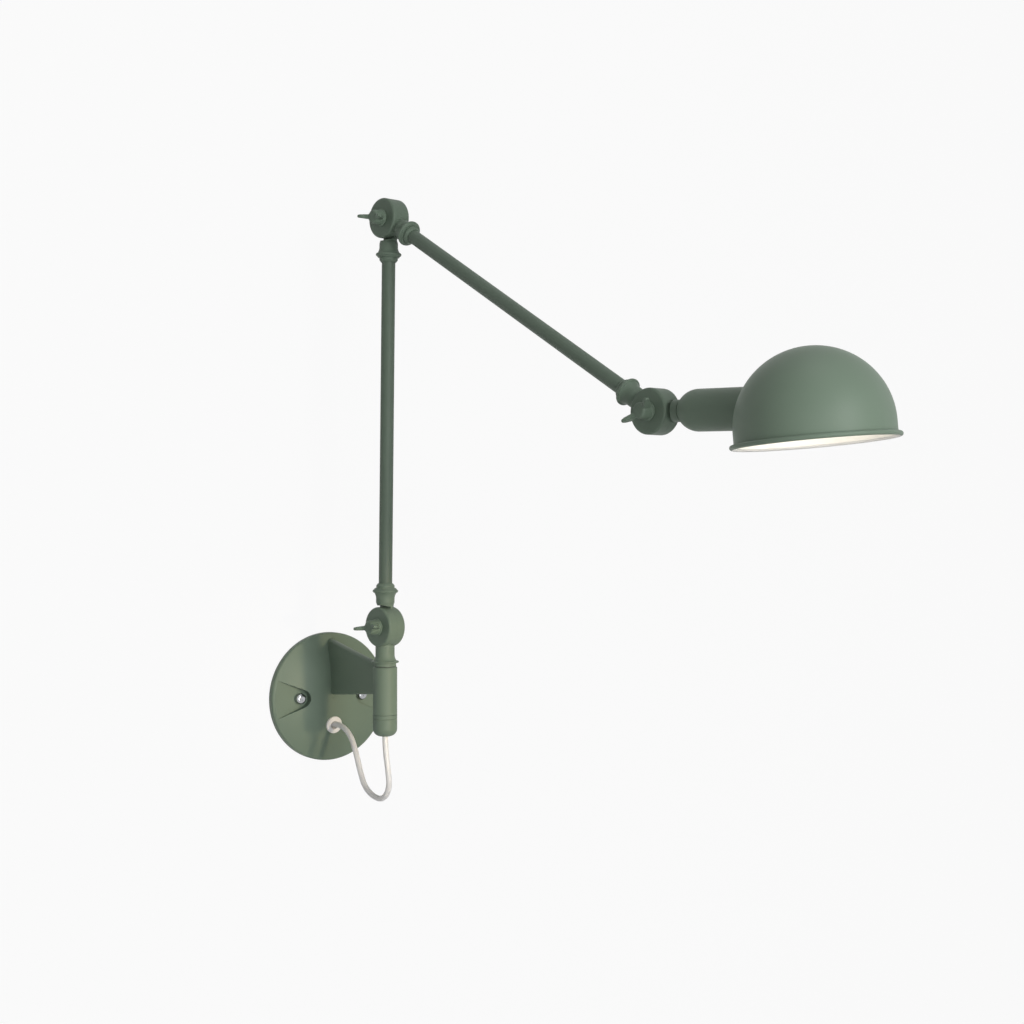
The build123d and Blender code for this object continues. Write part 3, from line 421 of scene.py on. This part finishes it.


# The arms are drawn steel tubes between the knuckles. Faint lines from the die run along
# them under the paint. The paint is a darker copy of the coat, painted shade on the arms.
def drawn_lines_group():
    """Draws lines along a run, over a colour and a normal."""
    group = bpy.data.node_groups.new("drawn_lines", "ShaderNodeTree")
    for label, kind in (("Colour", "Color"), ("Normal", "Vector"), ("Run", "Vector")):
        group.interface.new_socket(name=label, in_out="INPUT", socket_type="NodeSocket" + kind)
    for label, kind in (("Colour", "Color"), ("Normal", "Vector")):
        group.interface.new_socket(name=label, in_out="OUTPUT", socket_type="NodeSocket" + kind)
    new, link = group.nodes.new, group.links.new
    given, made = new("NodeGroupInput").outputs, new("NodeGroupOutput").inputs
    place = new("ShaderNodeTexCoord")
    along = new("ShaderNodeMapping")
    along.vector_type = "TEXTURE"
    along.inputs["Scale"].default_value = (60, 1, 1)
    lines = new("ShaderNodeTexNoise")
    lines.inputs["Scale"].default_value = 900
    lines.inputs["Detail"].default_value = 3
    link(place.outputs["Object"], along.inputs["Vector"])
    link(given["Run"], along.inputs["Rotation"])
    link(along.outputs[0], lines.inputs["Vector"])
    streak = new("ShaderNodeMapRange")
    streak.inputs["From Min"].default_value = 0.3
    streak.inputs["From Max"].default_value = 0.7
    streak.inputs["To Min"].default_value = 0.93
    streak.inputs["To Max"].default_value = 1.05
    link(lines.outputs["Fac"], streak.inputs["Value"])
    link(tinted(group, given["Colour"], streak.outputs["Result"]), made["Colour"])
    drawn = raised(group, lines.outputs["Fac"], 0.00001, 0.5, under=given["Normal"])
    link(drawn, made["Normal"])
    return group


def drawn_tube_paint(name, run):
    # A tone of 0.75 darkens the coat: painted shade for the dimmer light on the arms.
    paint = sage_paint(name, peel=0.45, roughness=0.5, tone=0.75)
    tree = paint.node_tree
    coat, skin = tree.nodes["Finish"], tree.nodes["Principled BSDF"]
    lines = tree.nodes.new("ShaderNodeGroup")
    lines.node_tree = drawn_lines
    lines.inputs["Run"].default_value = run.to_track_quat("X", "Z").to_euler()
    tree.links.new(coat.outputs["Colour"], lines.inputs["Colour"])
    tree.links.new(coat.outputs["Normal"], lines.inputs["Normal"])
    tree.links.new(lines.outputs["Colour"], skin.inputs["Base Color"])
    tree.links.new(lines.outputs["Normal"], skin.inputs["Normal"])
    return paint


knuckles = {
    "lower": Vector((0, -0.1237, 0.0807)),
    "elbow": Vector((0.0010304, -0.1298118, 0.4888529)),
    "head": Vector((0.0594018, -0.4760263, 0.2806331)),
}
drawn_lines = drawn_lines_group()
lower_run = knuckles["elbow"] - knuckles["lower"]
upper_run = knuckles["head"] - knuckles["elbow"]
dress(drawn_tube_paint("lower_tube_paint", lower_run), "lower_arm_tube")
dress(drawn_tube_paint("upper_tube_paint", upper_run), "upper_arm_tube")


# Each knuckle is clamped by a wing screw, a zinc casting with a round hub on a thin collar
# and two ears that lean outwards. One is modelled upright, softened as a casting is, and
# copied to the other knuckles.
def turned(name, outline):
    """Turns an outline of heights and radii about Z, with closed ends."""
    bpy.ops.object.select_all(action="DESELECT")
    height, radius = outline[0]
    bpy.ops.mesh.primitive_circle_add(
        vertices=64, radius=radius, fill_type="NGON", location=(0, 0, height)
    )
    piece = bpy.context.object
    piece.name = name
    bpy.ops.object.mode_set(mode="EDIT")
    for next_height, next_radius in outline[1:]:
        rise = (0, 0, next_height - height)
        bpy.ops.mesh.extrude_region_move(TRANSFORM_OT_translate={"value": rise})
        share = next_radius / radius
        bpy.ops.transform.resize(value=(share, share, 1), center_override=(0, 0, next_height))
        height, radius = next_height, next_radius
    bpy.ops.mesh.select_all(action="SELECT")
    bpy.ops.mesh.normals_make_consistent(inside=False)
    bpy.ops.object.mode_set(mode="OBJECT")
    bpy.ops.object.transform_apply(location=True, rotation=False, scale=False)
    return piece


def wing_ear(name, stations):
    """Grows an ear along X through stations of reach, low edge, high edge and width."""
    bpy.ops.object.select_all(action="DESELECT")
    reach, low, high, width = stations[0]
    bpy.ops.mesh.primitive_plane_add(
        size=1, location=(reach, 0, (low + high) / 2), rotation=(0, math.radians(90), 0)
    )
    ear = bpy.context.object
    ear.name = name
    ear.scale = (high - low, width, 1)
    bpy.ops.object.transform_apply(location=True, rotation=True, scale=True)
    bpy.ops.object.mode_set(mode="EDIT")
    for next_reach, next_low, next_high, next_width in stations[1:]:
        rise = (next_low + next_high - low - high) / 2
        bpy.ops.mesh.extrude_region_move(
            TRANSFORM_OT_translate={"value": (next_reach - reach, 0, rise)}
        )
        bpy.ops.transform.resize(
            value=(1, next_width / width, (next_high - next_low) / (high - low)),
            center_override=(next_reach, 0, (next_low + next_high) / 2),
        )
        reach, low, high, width = next_reach, next_low, next_high, next_width
    bpy.ops.mesh.select_all(action="SELECT")
    bpy.ops.mesh.normals_make_consistent(inside=False)
    bpy.ops.object.mode_set(mode="OBJECT")
    return ear


hub = turned(
    "wing_screw",
    [
        (-0.0178, 0.0024),
        (-0.0172, 0.0030),
        (0, 0.0030),
        (0, 0.0086),
        (0.0012, 0.0088),
        (0.0014, 0.0074),
        (0.0060, 0.0072),
        (0.0103, 0.0068),
        (0.0114, 0.0058),
        (0.0118, 0.0040),
    ],
)
ear_stations = [
    (0.0030, 0.0030, 0.0105, 0.0050),
    (0.0085, 0.0040, 0.0128, 0.0044),
    (0.0122, 0.0078, 0.0162, 0.0038),
    (0.0150, 0.0112, 0.0175, 0.0030),
    (0.0165, 0.0136, 0.0171, 0.0022),
]
right_ear = wing_ear("right_ear", ear_stations)
left_ear = wing_ear("left_ear", ear_stations)
left_ear.data.transform(Matrix.Rotation(math.pi, 4, "Z"))
for piece in (hub, right_ear, left_ear):
    piece.select_set(True)
bpy.context.view_layer.objects.active = hub
bpy.ops.object.join()
cast = hub.modifiers.new("cast", "REMESH")
cast.mode = "VOXEL"
cast.voxel_size = 0.00034
bpy.ops.object.modifier_apply(modifier="cast")
soften = hub.modifiers.new("soften", "SMOOTH")
soften.factor = 0.5
soften.iterations = 6
bpy.ops.object.modifier_apply(modifier="soften")
bpy.ops.object.shade_smooth()

wing_side = Vector((-0.986083, -0.166252, 0))
arm_out = Vector((0.166252, -0.986083, 0))
collar_seat = 0.01035
wing_turns = {"lower": 6.6, "elbow": -5.6, "head": 34.0}
for joint, turn in wing_turns.items():
    level, upwards = math.cos(math.radians(turn)), math.sin(math.radians(turn))
    ear_out = arm_out * level + Vector((0, 0, upwards))
    seat = Matrix((ear_out, wing_side.cross(ear_out), wing_side)).transposed().to_4x4()
    seat.translation = knuckles[joint] + wing_side * collar_seat
    screw = hub if joint == "head" else hub.copy()
    if screw is not hub:
        screw.data = hub.data.copy()
        bpy.context.collection.objects.link(screw)
    screw.name = joint + "_wing"
    screw.data.transform(seat)
    screw.data.materials.clear()
    screw.data.materials.append(shaded_knuckle_paint if joint == "head" else cast_paint)
    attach(screw, joint + "_wing")
    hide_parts(joint + "_wing_screw")


# The lampholder is a dark moulded body with a brass screw shell and a brass contact. The
# bulb's base is brass too.
brass = plated_metal("satin_brass", (0.72, 0.53, 0.25), 0.3, 1500, 0.00002)
dress(dark_plastic, "lampholder_body", "lampholder_ring")
dress(brass, "lampholder_shell", "centre_contact", "bulb_base")


# The shade is spun steel, sage green outside and white enamel inside. The change of colour
# follows the sheet: what lies inside the middle of its wall is white, down to the rim, where
# the change moves out to the middle of the rolled bead.
def sheet_vector(tree, operation, first, second):
    """Joins two vectors, each given as a socket or as a fixed one."""
    step = tree.nodes.new("ShaderNodeVectorMath")
    step.operation = operation
    for vector, socket in zip((first, second), step.inputs):
        if isinstance(vector, bpy.types.NodeSocket):
            tree.links.new(vector, socket)
        else:
            socket.default_value = vector
    return step


def shade_finish(centre, up):
    # A tone of 1.1 lightens the outer coat: painted light on the dome.
    paint = sage_paint("shade_paint", peel=0.45, roughness=0.48, tone=1.1)
    tree = paint.node_tree
    new, link = tree.nodes.new, tree.links.new
    place = new("ShaderNodeTexCoord").outputs["Object"]
    from_centre = sheet_vector(tree, "SUBTRACT", place, centre).outputs[0]
    height = sheet_vector(tree, "DOT_PRODUCT", from_centre, up).outputs["Value"]
    below = new("ShaderNodeMath")
    below.operation = "MINIMUM"
    below.inputs[1].default_value = 0
    link(height, below.inputs[0])
    drop = new("ShaderNodeVectorMath")
    drop.operation = "SCALE"
    drop.inputs[0].default_value = up
    link(below.outputs[0], drop.inputs["Scale"])
    sideways = sheet_vector(tree, "SUBTRACT", from_centre, drop.outputs[0]).outputs[0]
    reach = new("ShaderNodeVectorMath")
    reach.operation = "LENGTH"
    link(sideways, reach.inputs[0])

    wall_middle, wall_foot = 0.0624, -0.0091
    bead_middle, bead_top = 0.0646, -0.0099
    edge = new("ShaderNodeMapRange")
    edge.inputs["From Min"].default_value = bead_top
    edge.inputs["From Max"].default_value = wall_foot
    edge.inputs["To Min"].default_value = bead_middle
    edge.inputs["To Max"].default_value = wall_middle
    link(height, edge.inputs["Value"])
    inside = worked_out(tree, "LESS_THAN", reach.outputs["Value"], edge.outputs[0])
    enamel = new("ShaderNodeMix")
    enamel.data_type = "RGBA"
    link(inside, enamel.inputs[0])
    link(tree.nodes["Finish"].outputs["Colour"], enamel.inputs[6])
    enamel.inputs[7].default_value = (0.9, 0.89, 0.86, 1)
    link(enamel.outputs[2], tree.nodes["Principled BSDF"].inputs["Base Color"])
    return paint


shade_centre = Vector((0.0869327, -0.6357174, 0.2616634))
shade_up = Vector((-0.0499660, 0.0675577, 0.9964634))
dress(shade_finish(shade_centre, shade_up), "shade")


# The bulb is a small screw bulb with an opal glass envelope. It is lit, and its glass has
# a faint haze.
opal_glass = bpy.data.materials.new("opal_glass")
opal_glass.use_nodes = True
glass = opal_glass.node_tree
haze = glass.nodes.new("ShaderNodeMix")
haze.data_type = "RGBA"
haze.inputs[6].default_value = (0.88, 0.87, 0.84, 1)
haze.inputs[7].default_value = (0.93, 0.925, 0.90, 1)
glass.links.new(object_noise(glass, 40), haze.inputs[0])
glass_skin = glass.nodes["Principled BSDF"]
glass_skin.inputs["Roughness"].default_value = 0.22
glass_skin.inputs["Coat Weight"].default_value = 0.5
glass_skin.inputs["Emission Color"].default_value = (1, 0.93, 0.80, 1)
glass_skin.inputs["Emission Strength"].default_value = 2.6
glass.links.new(haze.outputs[2], glass_skin.inputs["Base Color"])
dress(opal_glass, "bulb_glass")
